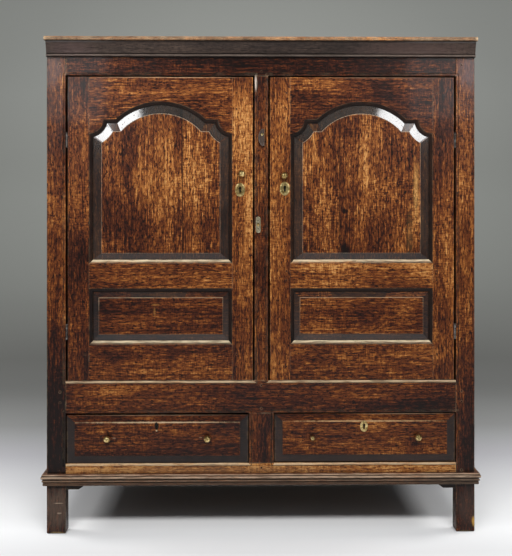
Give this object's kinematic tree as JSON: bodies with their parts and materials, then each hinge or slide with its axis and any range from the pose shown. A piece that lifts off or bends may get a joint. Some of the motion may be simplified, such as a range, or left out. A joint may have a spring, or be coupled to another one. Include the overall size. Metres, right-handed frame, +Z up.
{
  "type": "court cupboard",
  "caption": "Joined oak press cupboard: arched, fielded panel doors on butt hinges above side by side drawers, on stile feet.",
  "frame": {"origin": "bottom centre of the bounding box, on the floor between the feet", "axes": "+Z up, the doors and drawers face -Y, +X is to the right seen from the front"},
  "size_m": [1.4434, 0.558, 1.631],
  "materials": {
    "waxed_oak": "aged oak, waxed, worn pale on edges",
    "oak_panels": "aged oak panels, waxed, redder than the frame",
    "plain_oak": "dry unwaxed oak inside and behind",
    "pegs": "riven oak pegs, darker end grain",
    "dark_button": "dark stained hardwood",
    "brass": "aged brass, rubbed bright on the high spots",
    "iron": "dark wrought iron"
  },
  "bodies": {
    "carcass": {"back_boards": "plain_oak", "back_rails": "plain_oak", "back_stiles": "waxed_oak", "base_moulding": "waxed_oak", "board_bearers": "plain_oak", "button_pivots": "brass", "cornice": "waxed_oak", "cupboard_floor": "plain_oak", "cupboard_shelf": "plain_oak", "door_muntin": "waxed_oak", "drawer_muntin": "waxed_oak", "drawer_runners": "plain_oak", "frame_hinge_leaves": "iron", "frame_pegs": "pegs", "front_bottom_rail": "waxed_oak", "front_left_stile": "waxed_oak", "front_middle_rail": "waxed_oak", "front_right_stile": "waxed_oak", "front_top_rail": "waxed_oak", "side_panels": "oak_panels", "side_rails": "waxed_oak", "top_boards": "waxed_oak"},
    "left_door": {"left_door_arched_panel": "oak_panels", "left_door_bottom_rail": "waxed_oak", "left_door_escutcheon": "brass", "left_door_hinge_leaves": "iron", "left_door_hinge_stile": "waxed_oak", "left_door_knob": "brass", "left_door_lock_case": "iron", "left_door_lock_stile": "waxed_oak", "left_door_lower_panel": "oak_panels", "left_door_middle_rail": "waxed_oak", "left_door_pegs": "pegs", "left_door_top_rail": "waxed_oak"},
    "right_door": {"right_door_arched_panel": "oak_panels", "right_door_bottom_rail": "waxed_oak", "right_door_escutcheon": "brass", "right_door_hinge_leaves": "iron", "right_door_hinge_stile": "waxed_oak", "right_door_knob": "brass", "right_door_lock_case": "iron", "right_door_lock_stile": "waxed_oak", "right_door_lower_panel": "oak_panels", "right_door_middle_rail": "waxed_oak", "right_door_pegs": "pegs", "right_door_top_rail": "waxed_oak"},
    "left_door_bolt": {"left_door_lock_bolt": "iron"},
    "right_door_bolt": {"right_door_lock_bolt": "iron"},
    "left_drawer": {"left_drawer_box": "plain_oak", "left_drawer_front": "waxed_oak", "left_drawer_knobs": "brass", "left_drawer_lock": "iron"},
    "right_drawer": {"right_drawer_box": "plain_oak", "right_drawer_front": "waxed_oak", "right_drawer_knobs": "brass", "right_drawer_lock": "iron"},
    "left_drawer_bolt": {"left_drawer_bolt": "iron"},
    "right_drawer_bolt": {"right_drawer_bolt": "iron"},
    "upper_button": {"upper_turn_button": "dark_button"},
    "lower_button": {"lower_turn_button": "brass"}
  },
  "joints": [
    {"name": "left_door_hinge", "type": "hinge", "parent": "carcass", "child": "left_door", "pos_m": [-0.63965, -0.252, 0.979], "axis": [0, 0, -1], "range_deg": [0, 170]},
    {"name": "right_door_hinge", "type": "hinge", "parent": "carcass", "child": "right_door", "pos_m": [0.63965, -0.252, 0.979], "axis": [0, 0, 1], "range_deg": [0, 170]},
    {"name": "left_drawer_slide", "type": "slide", "parent": "carcass", "child": "left_drawer", "axis": [0, -1, 0], "range_m": [0, 0.36]},
    {"name": "right_drawer_slide", "type": "slide", "parent": "carcass", "child": "right_drawer", "axis": [0, -1, 0], "range_m": [0, 0.36]},
    {"name": "upper_button_turn", "type": "hinge", "parent": "carcass", "child": "upper_button", "pos_m": [0.002, -0.256, 1.313], "axis": [0, -1, 0], "range_deg": [-90, 90]},
    {"name": "lower_button_turn", "type": "hinge", "parent": "carcass", "child": "lower_button", "pos_m": [-0.0105, -0.253, 1.016], "axis": [0, -1, 0], "range_deg": [-90, 90]},
    {"name": "left_door_bolt_slide", "type": "slide", "parent": "left_door", "child": "left_door_bolt", "axis": [1, 0, 0], "range_m": [0, 0.012]},
    {"name": "right_door_bolt_slide", "type": "slide", "parent": "right_door", "child": "right_door_bolt", "axis": [-1, 0, 0], "range_m": [0, 0.012]},
    {"name": "left_drawer_bolt_slide", "type": "slide", "parent": "left_drawer", "child": "left_drawer_bolt", "axis": [0, 0, 1], "range_m": [0, 0.012]},
    {"name": "right_drawer_bolt_slide", "type": "slide", "parent": "right_drawer", "child": "right_drawer_bolt", "axis": [0, 0, 1], "range_m": [0, 0.012]}
  ]
}
